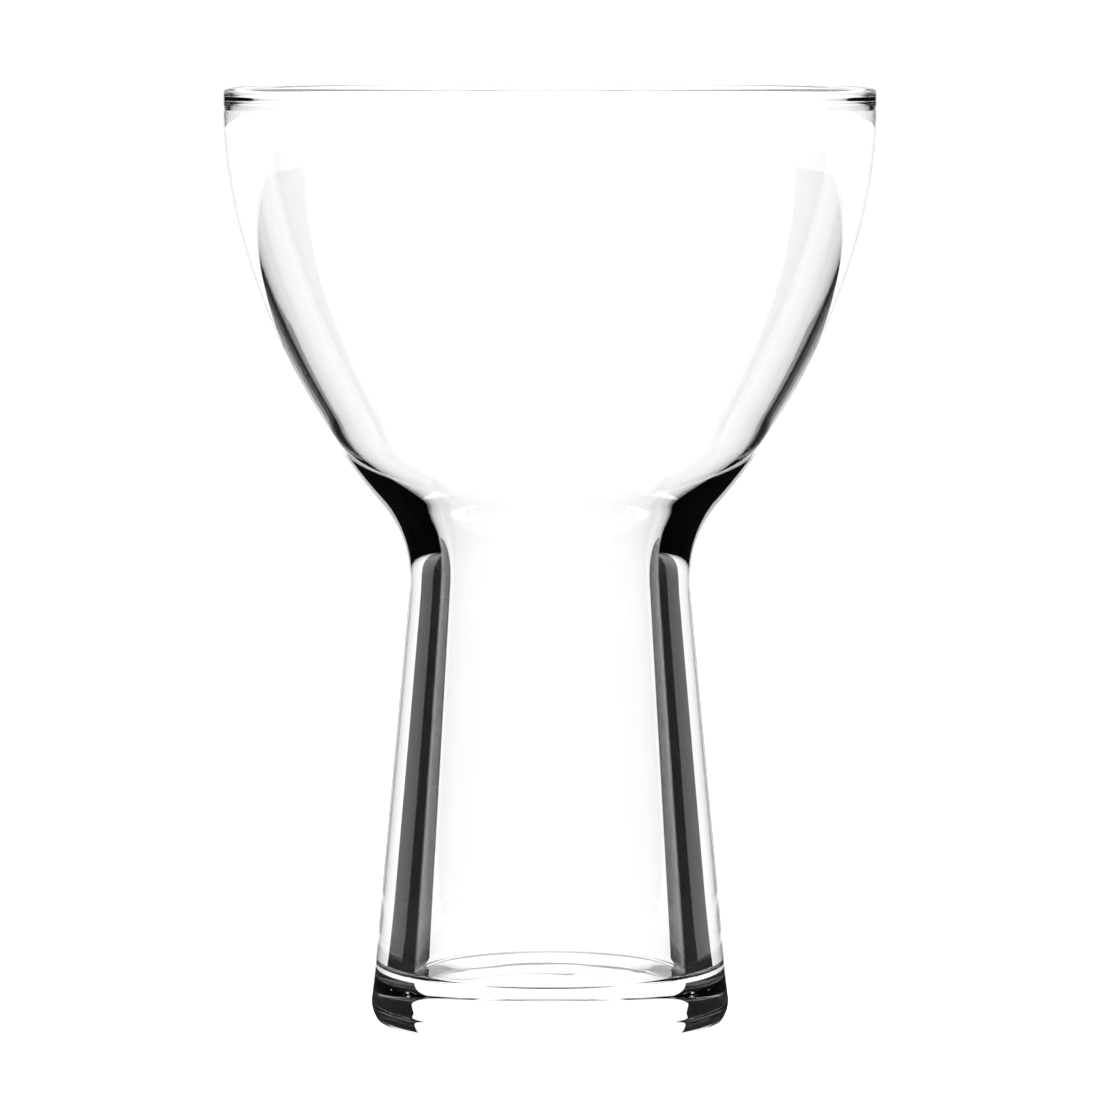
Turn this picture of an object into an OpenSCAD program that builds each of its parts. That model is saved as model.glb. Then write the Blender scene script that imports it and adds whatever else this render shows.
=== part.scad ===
// Footed pint beer glass: a thin-walled bowl on a thick, hollow, flared stem with a solid glass base.
// The glass stands on z = 0 with its axis of revolution on Z. All sizes are in millimetres.

/* [Overall] */
// Height from the table to the top of the rim
glass_h = 150; // [140:1:190]
// Outside diameter of the rim
rim_d = 104.6; // [96:0.2:126]
// Outside diameter of the neck where the bowl meets the stem
neck_d = 45.4; // [42:0.2:50]
// Diameter that the stem's straight side would reach at the table
foot_d = 58.2; // [52:0.2:70]
// Height of the neck where the bowl meets the stem
stem_h = 69; // [56:0.5:84]

/* [Bowl] */
// Wall thickness just below the rim bead
rim_wall = 1.15; // [0.8:0.05:1.5]
// Thickness of the fire-polished bead round the rim
bead_t = 1.6; // [1.5:0.05:2]
// Height over which the bead thins down to the wall
bead_h = 2.9; // [2:0.1:4]
// Horizontal wall thickness low in the bowl, where the throat begins
bowl_wall = 2.35; // [1.6:0.05:2.6]
// How much of the bowl's height its upper curve pulls straight down from the rim
bowl_fullness = 0.4; // [0.3:0.01:0.5]
// How much of the bowl's height its lower curve holds the neck's slope
bowl_rise = 0.26; // [0.15:0.01:0.35]

/* [Neck] */
// Height of the neck's hollow outside curve
flare_h = 15.2; // [13:0.1:18]
// Outside diameter where the neck runs into the bowl
flare_d = 55.6; // [54:0.2:58]
// Slope at which the neck runs into the bowl, from vertical, in degrees
flare_angle = 40.2; // [36:0.1:44]
// How much of the neck's height its curve runs on up the stem's slope
neck_rise = 0.53; // [0.4:0.01:0.6]
// How much of the neck's height its curve runs down the bowl's slope
neck_turn = 0.27; // [0.15:0.01:0.35]

/* [Throat] */
// Height above the neck at which the bowl's inside turns in towards the bore
throat_h = 28.7; // [26:0.1:32]
// Height above the neck of the throat's steepest point
shoulder_h = 16.2; // [15:0.1:17]
// Horizontal wall thickness at the throat's steepest point
shoulder_wall = 3.62; // [3:0.02:4]
// Slope of the throat at its steepest point, from vertical, in degrees
shoulder_angle = 47.4; // [44:0.1:50]
// How much of the shoulder's height the lower curve runs straight up out of the bore
throat_rise = 0.24; // [0.15:0.01:0.35]
// How much of the shoulder's height the lower curve runs down the shoulder's slope
throat_turn = 0.65; // [0.5:0.01:0.7]
// How much of the height left above it the upper curve holds the shoulder's slope
throat_hold = 0.64; // [0.55:0.01:0.75]
// How much of the height left above it the upper curve runs down the bowl's slope
throat_fade = 0.41; // [0.25:0.01:0.45]

/* [Stem] */
// Diameter of the bore at the neck
bore_top_d = 35.4; // [32:0.1:37]
// Diameter of the bore where it meets the base
bore_foot_d = 43.9; // [38:0.1:46]

/* [Base] */
// Thickness of solid glass under the bore
floor_t = 7.7; // [5:0.1:12]
// Radius of the fillet between the bore and its floor
floor_fillet = 1; // [0.5:0.1:2.5]
// Radius of the rounded lower edge
foot_round = 5; // [3:0.1:5.4]
// Slope at which the table cuts the rounded edge off, from vertical, in degrees
foot_tilt = 38; // [35:1:50]
// Width of the flat ring that the glass rests on
rest_ring_w = 1.5; // [1:0.1:4]
// Depth of the shallow hollow inside the resting ring
dish_depth = 1.8; // [0.5:0.1:2]

/* [Hidden] */
$fn = 128;
clear_glass = [0.92, 0.96, 0.96];
glass_alpha = 0.4;
arc_steps = 10;
curve_steps = 28;
inside_steps = 22;
table_steps = 160;

// Points [radius, height] used throughout
neck_r = neck_d / 2;
flare_top_z = stem_h + flare_h;
bead_z = glass_h - bead_h;
bowl_h = bead_z - flare_top_z;
bead_mid_z = glass_h - bead_t / 2;
bead_mid_r = rim_d / 2 - bead_t / 2;
throat_z = stem_h + throat_h;
shoulder_z = stem_h + shoulder_h;
base_h = floor_t + floor_fillet;

// The stem's outside and its bore are both straight cones
side_slope = (foot_d / 2 - neck_r) / stem_h;
bore_slope = (bore_foot_d - bore_top_d) / 2 / (stem_h - base_h);
function side_r(z) = foot_d / 2 - side_slope * z;
function bore_r(z) = bore_foot_d / 2 - bore_slope * (z - base_h);

// A cubic curve from a to b, leaving a along angle_a and reaching b along angle_b, both from vertical
function heading(angle) = [sin(angle), cos(angle)];
function cubic(a, b, c, d, t) =
    pow(1 - t, 3) * a + 3 * pow(1 - t, 2) * t * b + 3 * (1 - t) * t * t * c + pow(t, 3) * d;
function curve(a, angle_a, hold_a, b, angle_b, hold_b, steps) = [
    for (i = [0 : steps])
        cubic(a, a + hold_a * heading(angle_a), b - hold_b * heading(angle_b), b, i / steps)
];

// An arc about a centre, from one angle to another, counted from the radius direction
function arc(centre, r, from, to, steps) = [
    for (i = [0 : steps])
        let (angle = from + (to - from) * i / steps)
        centre + r * [cos(angle), sin(angle)]
];

// Outside of the bowl from the end of the neck up to the foot of the bead
function bowl_side(steps) = curve(
    [flare_d / 2, flare_top_z], flare_angle, bowl_rise * bowl_h,
    [rim_d / 2, bead_z], 0, bowl_fullness * bowl_h, steps
);
side_table = [for (p = bowl_side(table_steps)) [p[1], p[0]]];
function bowl_side_r(z) = lookup(z, side_table);

// The wall thickens evenly from the bead down to the throat
function bowl_wall_at(z) = bowl_wall + (rim_wall - bowl_wall) * (z - throat_z) / (bead_z - throat_z);
function bowl_inside_r(z) = bowl_side_r(z) - bowl_wall_at(z);

// The bead eases into the wall along half a cosine wave
function bead_wall_at(z) =
    rim_wall + (bead_t - rim_wall) * (1 - cos(180 * (z - bead_z) / (bead_mid_z - bead_z))) / 2;

// Neck, from the top of the stem up to the start of the bowl
neck_side = curve(
    [neck_r, stem_h], -atan(side_slope), neck_rise * flare_h,
    [flare_d / 2, flare_top_z], flare_angle, neck_turn * flare_h, inside_steps
);

// Slope of the bowl's inside at the top of the throat, from vertical
throat_probe = 0.5;
throat_angle = atan((bowl_inside_r(throat_z + throat_probe) - bowl_inside_r(throat_z)) / throat_probe);

// Throat, from the bore out to its steepest point and on up into the bowl
shoulder = [bowl_side_r(shoulder_z) - shoulder_wall, shoulder_z];
throat_left = throat_h - shoulder_h;
throat_low = curve(
    [bore_top_d / 2, stem_h], -atan(bore_slope), throat_rise * shoulder_h,
    shoulder, shoulder_angle, throat_turn * shoulder_h, inside_steps
);
throat_high = curve(
    shoulder, shoulder_angle, throat_hold * throat_left,
    [bowl_inside_r(throat_z), throat_z], throat_angle, throat_fade * throat_left, arc_steps
);
bowl_inside = [
    for (i = [1 : inside_steps])
        let (z = throat_z + (bead_z - throat_z) * i / inside_steps)
        [bowl_inside_r(z), z]
];
bead_inside = [
    for (i = [1 : arc_steps - 1])
        let (z = bead_z + (bead_mid_z - bead_z) * i / arc_steps)
        [rim_d / 2 - bead_wall_at(z), z]
];
bead_top = arc([bead_mid_r, bead_mid_z], bead_t / 2, 0, 180, arc_steps);

function backwards(points) = [for (i = [len(points) - 1 : -1 : 0]) points[i]];
function all_but_first(points) = [for (i = [1 : len(points) - 1]) points[i]];

// Rounded lower edge: an arc that leaves the stem's side and ends where the table cuts it off
foot_mid_z = foot_round * sin(foot_tilt);
foot_mid_r = side_r(foot_mid_z) - foot_round * sqrt(1 + pow(side_slope, 2));
foot_edge = arc([foot_mid_r, foot_mid_z], foot_round, atan(side_slope), -foot_tilt, arc_steps);

// Shallow hollow under the base: part of a large sphere
dish_r = foot_mid_r + foot_round * cos(foot_tilt) - rest_ring_w;
dish_sphere_r = (pow(dish_r, 2) + pow(dish_depth, 2)) / 2 / dish_depth;
dish_angle = asin(dish_r / dish_sphere_r);
dish = arc([0, dish_depth - dish_sphere_r], dish_sphere_r, 90 - dish_angle, 90, arc_steps);

// The fillet touches the floor and meets the bore at the top of the base
floor_mid_r = bore_foot_d / 2 - floor_fillet;
floor_edge = arc([floor_mid_r, base_h], floor_fillet, -90, 0, arc_steps);

// Thin bowl with the beaded rim at its top and the hollow-curved neck at its foot
module bowl() {
    color(clear_glass, glass_alpha)
    rotate_extrude()
    polygon(concat(
        neck_side,
        all_but_first(bowl_side(curve_steps)),
        bead_top,
        backwards(bead_inside),
        backwards(bowl_inside),
        backwards(all_but_first(throat_high)),
        backwards(throat_low)
    ));
}

// Thick-walled hollow stem, flared towards the table
module stem() {
    color(clear_glass, glass_alpha)
    rotate_extrude()
    polygon([
        [side_r(base_h), base_h],
        [neck_r, stem_h],
        [bore_top_d / 2, stem_h],
        [bore_foot_d / 2, base_h]
    ]);
}

// Heavy solid base with the floor of the bore on top and the resting ring below
module base() {
    color(clear_glass, glass_alpha)
    rotate_extrude()
    polygon(concat(
        [[side_r(base_h), base_h]],
        foot_edge,
        dish,
        [[0, floor_t]],
        floor_edge
    ));
}

bowl();
stem();
base();
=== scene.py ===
import math

import bpy
import numpy as np
from bpy.props import FloatProperty, FloatVectorProperty, PointerProperty
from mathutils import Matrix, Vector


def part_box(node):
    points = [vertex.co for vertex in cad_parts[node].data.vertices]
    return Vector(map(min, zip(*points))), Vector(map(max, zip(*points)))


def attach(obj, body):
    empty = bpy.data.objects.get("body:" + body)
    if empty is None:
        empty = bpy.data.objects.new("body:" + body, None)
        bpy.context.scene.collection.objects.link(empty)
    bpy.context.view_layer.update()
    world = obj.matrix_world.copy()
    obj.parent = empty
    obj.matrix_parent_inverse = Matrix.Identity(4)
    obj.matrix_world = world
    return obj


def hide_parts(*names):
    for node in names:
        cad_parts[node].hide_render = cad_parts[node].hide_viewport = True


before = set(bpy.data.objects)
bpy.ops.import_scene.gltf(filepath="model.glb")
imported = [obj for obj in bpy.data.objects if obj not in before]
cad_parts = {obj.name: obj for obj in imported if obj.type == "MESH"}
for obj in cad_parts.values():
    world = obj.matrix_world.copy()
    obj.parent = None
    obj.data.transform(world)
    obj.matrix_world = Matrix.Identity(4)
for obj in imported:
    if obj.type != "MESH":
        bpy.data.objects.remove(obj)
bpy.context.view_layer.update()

bl_info = {
    "name": "Footed pint glass",
    "version": (1, 0, 0),
    "blender": (4, 5, 0),
    "location": "3D View > Sidebar > Pint glass",
    "description": "Makes a footed pint glass in clear glass, with its table and soft backlight",
    "category": "Object",
}

RIM_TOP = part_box("bowl")[1].z
RIM_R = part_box("bowl")[1].x
STEM_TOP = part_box("stem")[1].z
STEM_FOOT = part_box("stem")[0].z

TURN_STEPS = 288  # steps round the axis
ON_AXIS = 1e-9  # a radius below this, in metres, is the axis
GLASS_SLOT, JOIN_SLOT = 0, 1  # a piece's materials: clear glass, and its inside at a hot join
TABLE_R, TABLE_STEPS = 4, 96  # the round table
TABLE_DROP = 0.0001  # how far the table lies under the glass's resting ring
# corners of the painted shade under the glass: a black disk seen only through the glass
PAINTED_UNDER_SHADE_STEPS = 32
RIM_CARD_END = 0.5  # distance of the rim cards' outer edge from the lane's middle
OVERHEAD_SIZE, OVERHEAD_POWER, OVERHEAD_Z = (1.2, 0.8), 4, 1.4  # metres, watts, metres
LIGHT_BOUNCES, CLEAR_BOUNCES = 8, 24  # bounces of a light path, and clear joins it may cross
RIPPLE_DEPTH = 0.0002  # metres, at full strength
WIPE_SCALE = (90, 90, 420)  # wipe marks per metre along X, Y and Z
WIPE_RANGE = (0.45, 0.8)  # noise at which the haze starts, and at which it is full


def length(name, description, default, low=0.0001, high=0.5):
    """A size in metres, shown in the scene's own unit."""
    return FloatProperty(
        name=name, description=description, default=default, min=low, max=high,
        precision=5, subtype="DISTANCE", unit="LENGTH",
    )


def share(name, description, default):
    """A plain number from 0 to 1."""
    return FloatProperty(name=name, description=description, default=default, min=0, max=1)


def slope(name, description, default):
    """An angle, given in degrees and kept in radians."""
    return FloatProperty(
        name=name, description=description, default=math.radians(default),
        min=math.radians(-20), max=math.radians(80), subtype="ANGLE", unit="ROTATION",
    )


class GlassShape(bpy.types.PropertyGroup):
    """Sizes of the glass."""

    height: length("Height", "From the table to the top of the rim", RIM_TOP)
    rim_r: length("Rim radius", "Outside radius of the rim", RIM_R)
    rim_wall: length("Rim wall", "Wall thickness just below the bead", 0.00115)
    bead_t: length("Bead thickness", "Thickness of the rounded bead on the rim", 0.0016)
    bead_h: length("Bead height", "Height over which the bead thins to the wall", 0.0029)
    bowl_rise: share("Bowl rise", "How far the bowl's curve keeps the neck's slope", 0.26)
    bowl_fullness: share(
        "Bowl fullness", "How far the bowl's curve hangs straight from the rim", 0.4
    )
    neck_r: length("Neck radius", "Outside radius where the bowl meets the stem", 0.0227)
    stem_top: length("Stem height", "Height of the join between bowl and stem", STEM_TOP)
    flare_h: length("Neck height", "Height of the neck's hollow curve", 0.0152)
    flare_r: length("Neck top radius", "Outside radius where the neck runs into the bowl", 0.0278)
    flare_angle: slope("Neck slope", "Slope where the neck runs into the bowl", 40.2)
    neck_rise: share("Neck rise", "How far the neck keeps the stem's slope", 0.53)
    neck_turn: share("Neck turn", "How far the neck keeps the bowl's slope", 0.27)
    bowl_wall: length("Bowl wall", "Wall thickness at the top of the throat", 0.00235)
    throat_h: length("Throat height", "Height of the throat above the join", 0.0287)
    throat_rise: share("Throat rise", "How far the throat keeps the bore's slope", 0.24)
    throat_turn: share(
        "Throat turn", "How far the throat's lower curve keeps its steepest slope", 0.65
    )
    throat_hold: share(
        "Throat hold", "How far the throat's upper curve keeps its steepest slope", 0.64
    )
    throat_fade: share(
        "Throat fade", "How far the throat's upper curve keeps the bowl's slope", 0.41
    )
    shoulder_h: length(
        "Shoulder height", "Height of the throat's steepest point above the join", 0.0162
    )
    shoulder_wall: length(
        "Shoulder wall", "Wall thickness at the throat's steepest point", 0.00362
    )
    shoulder_angle: slope("Shoulder slope", "Slope at the throat's steepest point", 47.4)
    bore_top_r: length("Bore top radius", "Radius of the bore at the join with the bowl", 0.0177)
    bore_foot_r: length("Bore foot radius", "Radius of the bore at the base", 0.02195)
    base_top: length("Base height", "Height of the join between stem and base", STEM_FOOT)
    foot_r: length("Foot radius", "Radius the stem's side would reach at the table", 0.0291)
    floor_fillet: length("Floor fillet", "Radius of the fillet round the bore's floor", 0.001)
    foot_round: length("Foot round", "Radius of the rounded lower edge", 0.005)
    foot_tilt: slope("Foot tilt", "Slope at which the table cuts the rounded edge off", 38)
    rest_ring: length("Resting ring", "Width of the flat ring the glass stands on", 0.0015)
    dish_depth: length("Dish depth", "Depth of the hollow under the base", 0.0018)
    floor_swirl: length(
        "Floor swirl", "Depth of the pressed floor's uneven swirls", 0.00006, 0, 0.001
    )


class GlassFinish(bpy.types.PropertyGroup):
    """Looks of the clear glass."""

    tint: FloatVectorProperty(
        name="Tint", description="Colour of the glass in a thin layer", size=3,
        subtype="COLOR", default=(0.995, 0.998, 0.997), min=0, max=1,
    )
    bend: FloatProperty(
        name="Refractive index", description="How strongly the glass bends light", default=1.52,
        min=1, max=2.5,
    )
    haze: share("Haze", "Greatest roughness left by wiping and washing", 0.006)
    ripple: share("Ripple", "Strength of the fire-polished surface's slow ripples", 0.02)


class StudioSetup(bpy.types.PropertyGroup):
    """Table, white surround, black cards, painted shade under and beside the glass, and camera.
    Sizes are measured from the glass's axis.
    """

    table_colour: FloatVectorProperty(
        name="Table", description="Colour of the pale table", size=3, subtype="COLOR",
        default=(0.93, 0.93, 0.93), min=0, max=1,
    )
    backlight: FloatProperty(
        name="Backlight", description="Brightness of the white surround and the lit table",
        default=1.2, min=0, max=5,
    )
    lane: length(
        "Lane", "Half the width of the white lane between the back cards", 0.074, 0.02, 0.5
    )
    # Outside this lane beside the glass, the glass sees painted floor shade instead of the lit
    # table.
    lane_near: length(
        "Near lane", "Half the width of the white lane beside the glass", 0.0206, 0.005, 0.5
    )
    card_distance: length(
        "Card distance", "Distance of the back cards behind the glass", 0.13, 0.05, 4
    )
    front_distance: length(
        "Front distance", "Distance of the front card in front of the glass", 0.45, 0.1, 4
    )
    # The front floor card is painted shade: a black sheet that the glass sees in place of the lit
    # table in front of it.
    front_gap: length(
        "Front gap", "Distance from the axis to the end of the front floor card", 0.035, 0.01, 0.5
    )
    wall_distance: length(
        "Wall distance", "Distance of the side cards from the glass", 0.3, 0.08, 4
    )
    card_height: length("Card height", "Height of the upright cards", 0.09, 0.05, 4)
    card_drop: length(
        "Card drop", "How far under the glass's foot the black cards start", 0.0005, 0, 0.1
    )
    rim_card_x: length(
        "Rim card start", "Distance of the rim cards from the lane's middle", 0.088, 0, 0.5
    )
    rim_card_z: length("Rim card foot", "Height of the rim cards' lower edge", 0.14, 0, 0.5)
    rim_card_h: length("Rim card height", "Height of the rim cards", 0.05, 0, 0.5)
    # The card under the glass is painted shade: a black disk that the glass sees, in place of the
    # lit table, as the table's shade under its base.
    painted_under_shade_r: length("Under card", "Radius of the card under the glass", 0.06, 0.01, 0.5)
    painted_under_shade_drop: length(
        "Under card drop", "How far the card under the glass lies below it", 0.1, 0.01, 0.5
    )
    camera_distance: length("Camera distance", "Camera to axis, along the table", 1.0956, 0.3, 5)
    camera_height: length("Camera height", "Height of the camera over the table", 0.15967, 0, 5)
    camera_tilt: slope("Camera tilt", "How far the camera looks down", 4.3777)
    focal: FloatProperty(
        name="Lens", description="Focal length in millimetres", default=223.87, min=20, max=600,
    )


# Profiles. A profile is an array of (radius, height) rows, followed with the glass on its left.

def heading(angle):
    """Unit vector at an angle from vertical: (sine, cosine)."""
    return np.array([math.sin(angle), math.cos(angle)])


def curve(start, start_angle, hold_start, end, end_angle, hold_end, steps):
    """A cubic from start to end that leaves and arrives along two angles from vertical: the sum of
    start, start plus its handle, end minus its handle, and end, weighted by Bernstein's shares."""
    start = np.array(start, float)
    end = np.array(end, float)
    t = np.linspace(0, 1, steps + 1)[:, None]
    leave = start + hold_start * heading(start_angle)
    arrive = end - hold_end * heading(end_angle)
    return (
        (1 - t) ** 3 * start + 3 * (1 - t) ** 2 * t * leave
        + 3 * (1 - t) * t ** 2 * arrive + t ** 3 * end
    )


def arc(centre, radius, start, end, steps):
    """An arc: centre plus radius times (cosine, sine) of an angle that runs evenly from start to
    end."""
    angle = np.linspace(start, end, steps + 1)
    return np.array(centre) + radius * np.c_[np.cos(angle), np.sin(angle)]


def straight(start, end, steps):
    """Evenly spaced points from start to end."""
    return np.linspace(start, end, steps + 1)


def chain(*runs):
    """Runs joined end to end, with each shared point kept once."""
    return np.vstack([runs[0]] + [run[1:] for run in runs[1:]])


def stem_slope(s):
    """Angle of the stem's outside from vertical, negative because it narrows upwards."""
    return -math.atan((s.foot_r - s.neck_r) / s.stem_top)


def bore_slope(s):
    """Angle of the bore from vertical, negative because it narrows upwards."""
    return -math.atan((s.bore_foot_r - s.bore_top_r) / (s.stem_top - s.base_top))


def side_point(s, z):
    """Point of the stem's outside at a height: the foot's radius plus the slope, which is
    negative, times the height."""
    return [s.foot_r + math.tan(stem_slope(s)) * z, z]


def bowl_outside(s):
    """Outside from the join up to the foot of the bead: the neck's cubic, then the bowl's cubic."""
    flare = [s.flare_r, s.stem_top + s.flare_h]
    bead_z = s.height - s.bead_h
    bowl_h = bead_z - flare[1]
    neck = curve(
        [s.neck_r, s.stem_top], stem_slope(s), s.neck_rise * s.flare_h,
        flare, s.flare_angle, s.neck_turn * s.flare_h, steps=40,
    )
    bowl = curve(
        flare, s.flare_angle, s.bowl_rise * bowl_h,
        [s.rim_r, bead_z], 0, s.bowl_fullness * bowl_h, steps=60,
    )
    return chain(neck, bowl)


def bowl_inside(s, outside):
    """Inside from the bore's top up to the foot of the bead: two cubics that meet at the shoulder,
    then the outside's radius less a wall that thins evenly with height."""
    bead_z = s.height - s.bead_h
    throat_z = s.stem_top + s.throat_h
    shoulder_z = s.stem_top + s.shoulder_h

    def wall(z):
        return s.bowl_wall + (s.rim_wall - s.bowl_wall) * (z - throat_z) / (bead_z - throat_z)

    def inside_r(z):
        return np.interp(z, outside[:, 1], outside[:, 0]) - wall(z)

    probe = 0.0005  # step over which the slope above the throat is taken
    top_angle = math.atan((inside_r(throat_z + probe) - inside_r(throat_z)) / probe)
    shoulder = [np.interp(shoulder_z, outside[:, 1], outside[:, 0]) - s.shoulder_wall, shoulder_z]
    rest = s.throat_h - s.shoulder_h
    lower = curve(
        [s.bore_top_r, s.stem_top], bore_slope(s), s.throat_rise * s.shoulder_h,
        shoulder, s.shoulder_angle, s.throat_turn * s.shoulder_h, steps=40,
    )
    upper = curve(
        shoulder, s.shoulder_angle, s.throat_hold * rest,
        [inside_r(throat_z), throat_z], top_angle, s.throat_fade * rest, steps=24,
    )
    z = straight(throat_z, bead_z, steps=50)
    return chain(lower, upper, np.c_[inside_r(z), z])


def bead(s):
    """The rim from its outside foot over the top to its inside foot: a straight rise, half a
    circle, and an inside that eases from bead to wall along half a cosine wave."""
    mid_z = s.height - s.bead_t / 2
    bead_z = s.height - s.bead_h
    rise = straight([s.rim_r, bead_z], [s.rim_r, mid_z], steps=6)
    top = arc([s.rim_r - s.bead_t / 2, mid_z], s.bead_t / 2, 0, math.pi, steps=20)
    z = straight(mid_z, bead_z, steps=12)
    ease = (1 - np.cos(np.pi * (z - bead_z) / (mid_z - bead_z))) / 2
    inside = np.c_[s.rim_r - s.rim_wall - (s.bead_t - s.rim_wall) * ease, z]
    return chain(rise, top, inside)


def foot(s):
    """The rounded lower edge, from the top: an arc from where it leaves the stem's side down to
    where the table cuts it off. Its middle lies the radius times the sine of the tilt above the
    table, and a radius in from the side."""
    lean = math.tan(-stem_slope(s))
    mid_z = s.foot_round * math.sin(s.foot_tilt)
    mid_r = s.foot_r - lean * mid_z - s.foot_round * math.sqrt(1 + lean ** 2)
    return arc([mid_r, mid_z], s.foot_round, math.atan(lean), -s.foot_tilt, steps=24)


def dish(s, edge_r):
    """The shallow hollow under the base: an arc of a large circle from the ring's inner edge to
    the axis. Its radius is edge squared plus depth squared, over twice the depth."""
    sphere_r = (edge_r ** 2 + s.dish_depth ** 2) / 2 / s.dish_depth
    reach = math.asin(edge_r / sphere_r)
    middle = [0, s.dish_depth - sphere_r]
    return arc(middle, sphere_r, math.pi / 2 - reach, math.pi / 2, steps=24)


# Surfaces turned from profiles

def no_relief(x, y):
    """A smooth surface: no height anywhere."""
    return np.zeros_like(x)


def swirls(depth, reach, fade_from=0.72):
    """Relief of a pressed floor: the sum of four crossing sine waves, their places bent by two
    slower ones so that nothing repeats, fading along half a cosine wave to the floor's fillet."""

    def relief(x, y):
        u = x / reach
        v = y / reach
        bend_u = u + 0.16 * np.sin(5.1 * v + 0.7) + 0.07 * np.sin(11.3 * u - 2.0)
        bend_v = v + 0.14 * np.sin(4.3 * u - 1.1) + 0.06 * np.sin(12.7 * v + 0.4)
        wave = (
            np.sin(6.1 * bend_u + 2.9 * bend_v) + 0.8 * np.sin(9.7 * bend_v - 3.7 * bend_u + 1.3)
            + 0.6 * np.sin(15.1 * bend_u + 5.3 * bend_v + 2.1) + 0.5 * np.sin(19.3 * bend_v + 0.6)
        )
        radius = np.clip(np.hypot(u, v), 0, 1)
        fading = (1 + np.cos(np.pi * (radius - fade_from) / (1 - fade_from))) / 2
        fade = np.where(radius > fade_from, fading, 1)
        return depth * wave * fade / 2

    return relief


def turned(profile, relief=no_relief):
    """Points of a profile turned about Z: (r cos a, r sin a, z plus the relief there), one row of
    the grid for each turn step, and the unit normals, the cross product of the grid's two
    slopes."""
    angle = np.arange(TURN_STEPS) / TURN_STEPS * 2 * np.pi
    x = np.cos(angle)[:, None] * profile[:, 0]
    y = np.sin(angle)[:, None] * profile[:, 0]
    z = profile[:, 1] + relief(x, y)
    points = np.stack([x, y, z], -1)
    travel = np.r_[0, np.cumsum(np.hypot(*np.diff(profile, axis=0).T))]
    along = np.gradient(points, travel, axis=1, edge_order=2)
    round_ = np.stack([-np.sin(angle), np.cos(angle), np.zeros(TURN_STEPS)], -1)[:, None, :]
    spin = (np.roll(points, -1, 0) - np.roll(points, 1, 0)) / 2
    size = np.linalg.norm(spin, axis=-1, keepdims=True)
    spin = np.where(size > ON_AXIS, spin / np.maximum(size, ON_AXIS), round_)
    normal = np.cross(spin, along)
    return points, normal / np.linalg.norm(normal, axis=-1, keepdims=True)


def revolved(name, patches):
    """A closed mesh from turned patches that follow each other round the section. Each patch is
    (profile, relief, material slot). Neighbouring patches share a ring of points, and a patch that
    reaches the axis closes in a fan of triangles at one pole point."""
    rings, ring_of, count = [], {}, 0
    corners, sizes, slots, normals = [], [], [], []
    steps = np.arange(TURN_STEPS)
    after = np.roll(steps, -1)

    def ring(point, row):
        nonlocal count
        key = (round(float(point[0]), 8), round(float(point[1]), 8))
        if key not in ring_of:
            on_axis = point[0] < ON_AXIS
            rings.append(row[:1] if on_axis else row)
            ring_of[key] = np.full(TURN_STEPS, count) if on_axis else count + steps
            count += len(rings[-1])
        return ring_of[key]

    for profile, relief, slot in patches:
        points, normal = turned(profile, relief)
        index = np.stack([ring(profile[k], points[:, k]) for k in range(len(profile))], 1)
        for k in range(len(profile) - 1):
            low, high = index[:, k], index[:, k + 1]
            quad = np.stack([low, low[after], high[after], high], 1)
            face_normal = np.stack(
                [normal[:, k], normal[after, k], normal[after, k + 1], normal[:, k + 1]], 1
            )
            if profile[k, 0] < ON_AXIS:
                quad, face_normal = quad[:, 1:], face_normal[:, 1:]
            elif profile[k + 1, 0] < ON_AXIS:
                quad, face_normal = quad[:, :3], face_normal[:, :3]
            corners.append(quad.ravel())
            normals.append(face_normal.reshape(-1, 3))
            sizes.append(np.full(TURN_STEPS, quad.shape[1]))
            slots.append(np.full(TURN_STEPS, slot))
    points = np.vstack(rings)
    corners, normals = np.concatenate(corners), np.vstack(normals)
    sizes, slots = np.concatenate(sizes), np.concatenate(slots)
    mesh = bpy.data.meshes.new(name)
    mesh.vertices.add(len(points))
    mesh.vertices.foreach_set("co", points.astype(np.float32).ravel())
    mesh.loops.add(len(corners))
    mesh.loops.foreach_set("vertex_index", corners.astype(np.int32))
    mesh.polygons.add(len(sizes))
    mesh.polygons.foreach_set("loop_start", np.r_[0, np.cumsum(sizes)[:-1]].astype(np.int32))
    mesh.polygons.foreach_set("material_index", slots.astype(np.int32))
    mesh.polygons.foreach_set("use_smooth", np.ones(len(sizes), bool))
    mesh.update(calc_edges=True)
    mesh.normals_split_custom_set(normals)
    return mesh


def piece(context, name, patches, node):
    """Puts a turned mesh in the scene as one piece of the glass that stands for its CAD node."""
    mesh = revolved(name, patches)
    mesh.materials.append(clear_glass(context.scene.glass_finish))
    mesh.materials.append(fused_join())
    made = bpy.data.objects.new(name, mesh)
    context.collection.objects.link(made)
    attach(made, "root")
    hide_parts(node)


# Materials

def group_node(tree, group, **values):
    """Places a node group in a tree, with values for the inputs named in lower case."""
    node = tree.nodes.new("ShaderNodeGroup")
    node.node_tree = group
    for name, value in values.items():
        node.inputs[name.replace("_", " ").capitalize()].default_value = value
    return node


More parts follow.
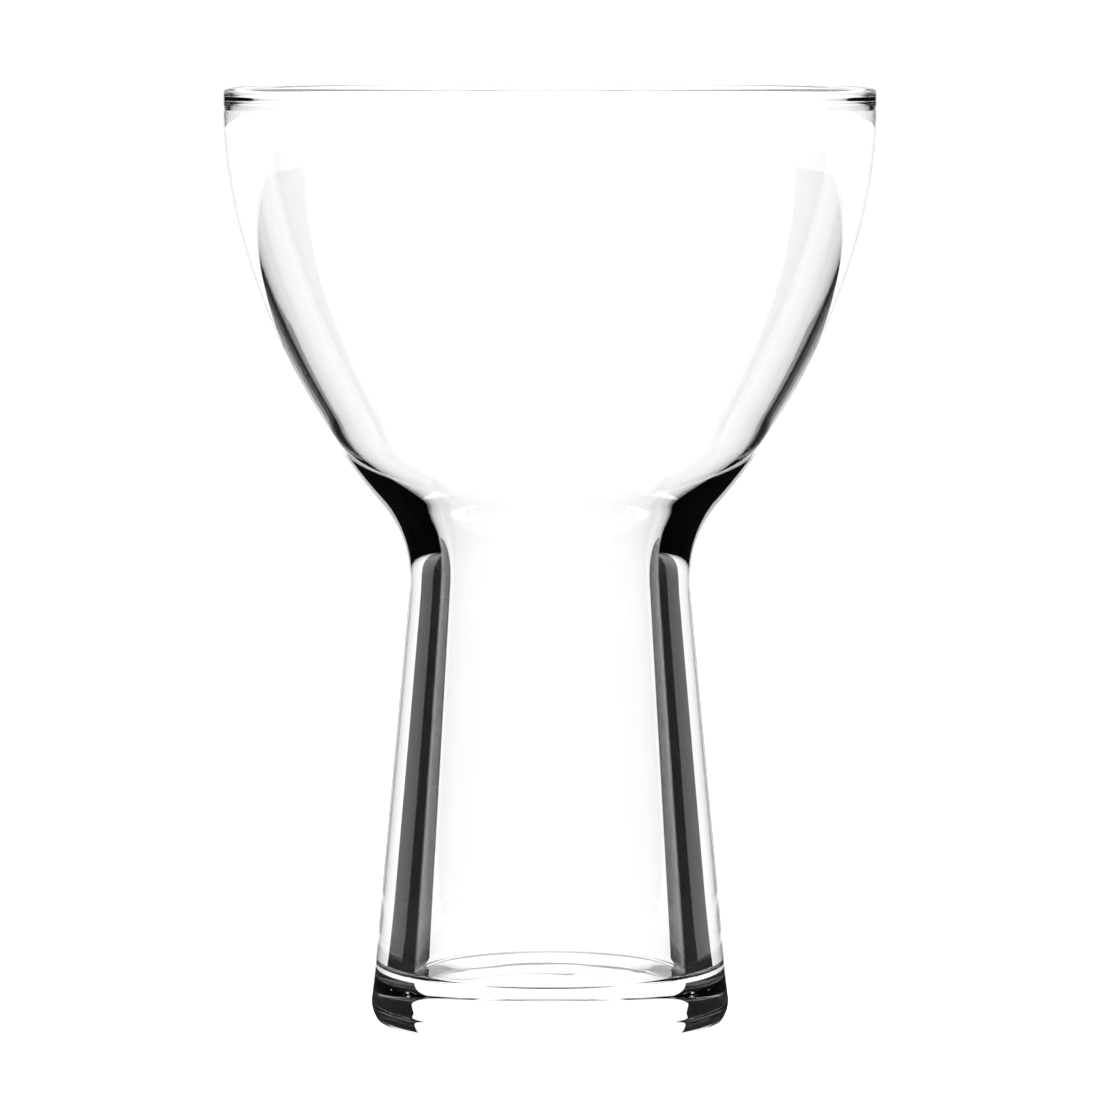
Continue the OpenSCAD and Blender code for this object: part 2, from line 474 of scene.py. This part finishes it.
def polish_group():
    """Node group for fire-polished glass: slow ripples as a normal, and faint wipe marks, drawn out
    round the glass, as roughness."""
    found = bpy.data.node_groups.get("Fire polish")
    if found:
        return found
    group = bpy.data.node_groups.new("Fire polish", "ShaderNodeTree")
    for name, default in (("Ripple scale", 60.0), ("Ripple", 0.02), ("Haze", 0.006)):
        socket = group.interface.new_socket(name, in_out="INPUT", socket_type="NodeSocketFloat")
        socket.default_value = default
    group.interface.new_socket("Roughness", in_out="OUTPUT", socket_type="NodeSocketFloat")
    group.interface.new_socket("Normal", in_out="OUTPUT", socket_type="NodeSocketVector")
    nodes, links = group.nodes, group.links
    inputs, outputs = nodes.new("NodeGroupInput"), nodes.new("NodeGroupOutput")
    place = nodes.new("ShaderNodeTexCoord")
    waves = nodes.new("ShaderNodeTexNoise")
    waves.inputs["Detail"].default_value = 1
    links.new(place.outputs["Object"], waves.inputs["Vector"])
    links.new(inputs.outputs["Ripple scale"], waves.inputs["Scale"])
    bump = nodes.new("ShaderNodeBump")
    bump.inputs["Distance"].default_value = RIPPLE_DEPTH
    links.new(inputs.outputs["Ripple"], bump.inputs["Strength"])
    links.new(waves.outputs["Fac"], bump.inputs["Height"])
    links.new(bump.outputs["Normal"], outputs.inputs["Normal"])
    stretch = nodes.new("ShaderNodeMapping")
    stretch.inputs["Scale"].default_value = WIPE_SCALE
    links.new(place.outputs["Object"], stretch.inputs["Vector"])
    wipes = nodes.new("ShaderNodeTexNoise")
    wipes.inputs["Scale"].default_value = 1
    wipes.inputs["Detail"].default_value = 4
    links.new(stretch.outputs["Vector"], wipes.inputs["Vector"])
    spread = nodes.new("ShaderNodeMapRange")
    spread.inputs["From Min"].default_value = WIPE_RANGE[0]
    spread.inputs["From Max"].default_value = WIPE_RANGE[1]
    links.new(wipes.outputs["Fac"], spread.inputs["Value"])
    links.new(inputs.outputs["Haze"], spread.inputs["To Max"])
    links.new(spread.outputs["Result"], outputs.inputs["Roughness"])
    return group


def new_material(name):
    """A named material with one Principled shader, and True if it was there already."""
    found = bpy.data.materials.get(name)
    if found:
        return found, found.node_tree.nodes["Principled BSDF"], True
    made = bpy.data.materials.new(name)
    made.use_nodes = True
    return made, made.node_tree.nodes["Principled BSDF"], False


def clear_glass(finish):
    """Polished clear soda-lime glass."""
    made, shader, done = new_material("Clear glass")
    if done:
        return made
    tree = made.node_tree
    shader.inputs["Base Color"].default_value = (*finish.tint, 1)
    shader.inputs["Transmission Weight"].default_value = 1
    shader.inputs["IOR"].default_value = finish.bend
    polish = group_node(tree, polish_group(), ripple=finish.ripple, haze=finish.haze)
    tree.links.new(polish.outputs["Roughness"], shader.inputs["Roughness"])
    tree.links.new(polish.outputs["Normal"], shader.inputs["Normal"])
    return made


def fused_join():
    """The inside of a hot join, where two parts of the glass are one and nothing shows."""
    made, shader, done = new_material("Fused join")
    if not done:
        shader.inputs["Alpha"].default_value = 0
        shader.inputs["Specular IOR Level"].default_value = 0
        made.surface_render_method = "BLENDED"
    return made


def plain_surface(name, colour, glow, roughness):
    """A plain matt surface, which also glows evenly where its glow is above zero."""
    made, shader, done = new_material(name)
    if not done:
        shader.inputs["Base Color"].default_value = (*colour, 1)
        shader.inputs["Roughness"].default_value = roughness
        shader.inputs["Specular IOR Level"].default_value = 0.1
        shader.inputs["Emission Color"].default_value = (1, 1, 1, 1)
        shader.inputs["Emission Strength"].default_value = glow
    return made


# Operators

class GLASS_OT_bowl(bpy.types.Operator):
    """Add the thin bowl with its beaded rim, neck and throat"""

    bl_idname = "object.pint_glass_bowl"
    bl_label = "Bowl"
    bl_options = {"REGISTER", "UNDO"}

    def execute(self, context):
        s = context.scene.glass_shape
        outside = bowl_outside(s)
        inside = bowl_inside(s, outside)
        wall = chain(outside, bead(s), inside[::-1])
        join = straight([s.bore_top_r, s.stem_top], [s.neck_r, s.stem_top], steps=2)
        patches = [(wall, no_relief, GLASS_SLOT), (join, no_relief, JOIN_SLOT)]
        piece(context, "glass_bowl", patches, "bowl")
        return {"FINISHED"}


class GLASS_OT_stem(bpy.types.Operator):
    """Add the thick hollow stem"""

    bl_idname = "object.pint_glass_stem"
    bl_label = "Stem"
    bl_options = {"REGISTER", "UNDO"}

    def execute(self, context):
        s = context.scene.glass_shape
        low, high = side_point(s, s.base_top), [s.neck_r, s.stem_top]
        bore_low, bore_high = [s.bore_foot_r, s.base_top], [s.bore_top_r, s.stem_top]
        patches = [
            (straight(low, high, steps=24), no_relief, GLASS_SLOT),
            (straight(high, bore_high, steps=2), no_relief, JOIN_SLOT),
            (straight(bore_high, bore_low, steps=24), no_relief, GLASS_SLOT),
            (straight(bore_low, low, steps=2), no_relief, JOIN_SLOT),
        ]
        piece(context, "glass_stem", patches, "stem")
        return {"FINISHED"}


class GLASS_OT_base(bpy.types.Operator):
    """Add the heavy base with the bore's floor above and the resting ring below"""

    bl_idname = "object.pint_glass_base"
    bl_label = "Base"
    bl_options = {"REGISTER", "UNDO"}

    def execute(self, context):
        s = context.scene.glass_shape
        side = side_point(s, s.base_top)
        edge = foot(s)
        ring_r = edge[-1, 0]
        dish_r = ring_r - s.rest_ring
        outside = chain(edge[::-1], straight(edge[0], side, steps=10))
        fillet_r = s.bore_foot_r - s.floor_fillet
        floor_z = s.base_top - s.floor_fillet
        floor = chain(
            arc([fillet_r, s.base_top], s.floor_fillet, 0, -math.pi / 2, steps=12),
            straight([fillet_r, floor_z], [0, floor_z], steps=90),
        )
        patches = [
            (dish(s, dish_r)[::-1], no_relief, GLASS_SLOT),
            (straight([dish_r, 0], [ring_r, 0], steps=4), no_relief, GLASS_SLOT),
            (outside, no_relief, GLASS_SLOT),
            (straight(side, [s.bore_foot_r, s.base_top], steps=2), no_relief, JOIN_SLOT),
            (floor, swirls(s.floor_swirl, fillet_r), GLASS_SLOT),
        ]
        piece(context, "glass_base", patches, "base")
        return {"FINISHED"}


def circle(radius, steps, z):
    """Evenly spaced corners of a level round: radius times (cosine, sine), and the height."""
    angle = np.arange(steps) / steps * 2 * np.pi
    rim = np.c_[radius * np.cos(angle), radius * np.sin(angle), np.full(steps, z)]
    return rim.tolist()


def flat(context, name, corners, material):
    """A flat face with the given corners, as part of the stage."""
    mesh = bpy.data.meshes.new(name)
    mesh.from_pydata(corners, [], [tuple(range(len(corners)))])
    mesh.materials.append(material)
    made = bpy.data.objects.new(name, mesh)
    context.collection.objects.link(made)
    return made


class GLASS_OT_stage(bpy.types.Operator):
    """Add the pale table, the white surround, the black cards, the painted shade under and beside
    the glass, the soft light and the camera
    """

    bl_idname = "object.pint_glass_stage"
    bl_label = "Stage"
    bl_options = {"REGISTER", "UNDO"}

    def execute(self, context):
        scene = context.scene
        t = scene.studio_setup
        self.table(context, t)
        self.surround(scene, t)
        camera = self.camera(context, t)
        self.cards(context, t, camera)
        self.overhead(context)
        scene.view_settings.view_transform = "Standard"
        scene.cycles.max_bounces = LIGHT_BOUNCES
        scene.cycles.transmission_bounces = LIGHT_BOUNCES
        scene.cycles.glossy_bounces = LIGHT_BOUNCES
        scene.cycles.transparent_max_bounces = CLEAR_BOUNCES
        return {"FINISHED"}

    def table(self, context, t):
        """The lit table. Glass shows and mirrors the surround, and the painted floor shade, in its
        place.
        """
        lit = plain_surface("Lit table", t.table_colour, glow=t.backlight, roughness=0.6)
        made = flat(context, "table", circle(TABLE_R, TABLE_STEPS, -TABLE_DROP), lit)
        made.visible_transmission = False
        made.visible_glossy = False

    def surround(self, scene, t):
        """An even white light from all round."""
        world = bpy.data.worlds.new("Studio surround")
        world.use_nodes = True
        background = world.node_tree.nodes["Background"]
        background.inputs["Color"].default_value = (1, 1, 1, 1)
        background.inputs["Strength"].default_value = t.backlight
        scene.world = world

    def camera(self, context, t):
        """A long lens in front of the glass, looking slightly down."""
        lens = bpy.data.cameras.new("camera")
        lens.lens = t.focal
        lens.sensor_width = 36
        lens.clip_start = 0.01
        lens.clip_end = 50
        made = bpy.data.objects.new("camera", lens)
        made.location = (0, -t.camera_distance, t.camera_height)
        made.rotation_euler = (math.pi / 2 - t.camera_tilt, 0, 0)
        context.collection.objects.link(made)
        context.scene.camera = made
        return made

    def cards(self, context, t, camera):
        """Black cards, hidden from the camera, that give clear glass its dark edges. The floor
        cards and the round card under the glass are painted shade: black sheets that the glass
        sees, in place of the lit table, as the table's shade beside and under it.
        They stand on a turntable that turns with the camera, so that every view is lit alike."""
        turntable = bpy.data.objects.new("turntable", None)
        context.collection.objects.link(turntable)
        follow = turntable.constraints.new("COPY_ROTATION")
        follow.target = camera
        follow.use_x = False
        follow.use_y = False
        back, front, far = t.card_distance, -t.front_distance, t.wall_distance
        low, tall, near, lane = -t.card_drop, t.card_height, t.lane_near, t.lane
        rim_low, rim_high = t.rim_card_z, t.rim_card_z + t.rim_card_h
        shapes = {
            "front_card": [
                (-far, front, low), (far, front, low), (far, front, tall), (-far, front, tall),
            ],
            # painted shade: a black sheet that the glass sees in place of the lit table in front of
            # it
            "painted_front_shade": [
                (-near, front, low), (near, front, low), (near, -t.front_gap, low),
                (-near, -t.front_gap, low),
            ],
            # painted shade: a black disk under the glass, seen through its base in place of the lit
            # table
            "painted_under_shade": circle(t.painted_under_shade_r, PAINTED_UNDER_SHADE_STEPS, -t.painted_under_shade_drop),
        }
        for side, label in ((-1, "left"), (1, "right")):
            shapes[f"back_card_{label}"] = [
                (side * lane, back, low), (side * far, back, low),
                (side * far, back, tall), (side * lane, back, tall),
            ]
            shapes[f"wall_card_{label}"] = [
                (side * far, back, low), (side * far, front, low),
                (side * far, front, tall), (side * far, back, tall),
            ]
            shapes[f"rim_card_{label}"] = [
                (side * t.rim_card_x, back, rim_low), (side * RIM_CARD_END, back, rim_low),
                (side * RIM_CARD_END, back, rim_high), (side * t.rim_card_x, back, rim_high),
            ]
            # painted shade: black sheets that the glass sees in place of the lit table beside it,
            # outside the white lane
            shapes[f"floor_card_{label}"] = [
                (side * near, 0, low), (side * lane, back, low), (side * far, back, low),
                (side * far, front, low), (side * near, front, low),
            ]
        # black for the upright cards, and for the painted shade of the floor and under cards
        black = plain_surface("Black card and painted shade", (0.005, 0.005, 0.005), glow=0, roughness=1)
        for name, corners in shapes.items():
            made = flat(context, name, corners, black)
            made.parent = turntable
            made.visible_camera = False
            made.visible_diffuse = False

    def overhead(self, context):
        """A weak soft light straight above."""
        light = bpy.data.lights.new("overhead", "AREA")
        light.shape = "RECTANGLE"
        light.size, light.size_y = OVERHEAD_SIZE
        light.energy = OVERHEAD_POWER
        made = bpy.data.objects.new("overhead", light)
        made.location = (0, 0, OVERHEAD_Z)
        context.collection.objects.link(made)


class GLASS_PT_panel(bpy.types.Panel):
    """Everything the glass needs, in the order it is made"""

    bl_label = "Pint glass"
    bl_idname = "GLASS_PT_panel"
    bl_space_type = "VIEW_3D"
    bl_region_type = "UI"
    bl_category = "Pint glass"

    def draw(self, context):
        layout = self.layout
        for operator in OPERATORS:
            layout.operator(operator.bl_idname)
        for group in ("glass_shape", "glass_finish", "studio_setup"):
            box = layout.box()
            settings = getattr(context.scene, group)
            for name in settings.__annotations__:
                box.prop(settings, name)


OPERATORS = (GLASS_OT_bowl, GLASS_OT_stem, GLASS_OT_base, GLASS_OT_stage)
CLASSES = (GlassShape, GlassFinish, StudioSetup, *OPERATORS, GLASS_PT_panel)


def register():
    for made in CLASSES:
        bpy.utils.register_class(made)
    bpy.types.Scene.glass_shape = PointerProperty(type=GlassShape)
    bpy.types.Scene.glass_finish = PointerProperty(type=GlassFinish)
    bpy.types.Scene.studio_setup = PointerProperty(type=StudioSetup)


def unregister():
    del bpy.types.Scene.studio_setup
    del bpy.types.Scene.glass_finish
    del bpy.types.Scene.glass_shape
    for made in reversed(CLASSES):
        bpy.utils.unregister_class(made)


def main():
    register()
    bpy.ops.object.pint_glass_bowl()
    bpy.ops.object.pint_glass_stem()
    bpy.ops.object.pint_glass_base()
    bpy.ops.object.pint_glass_stage()


if __name__ == "__main__":
    main()
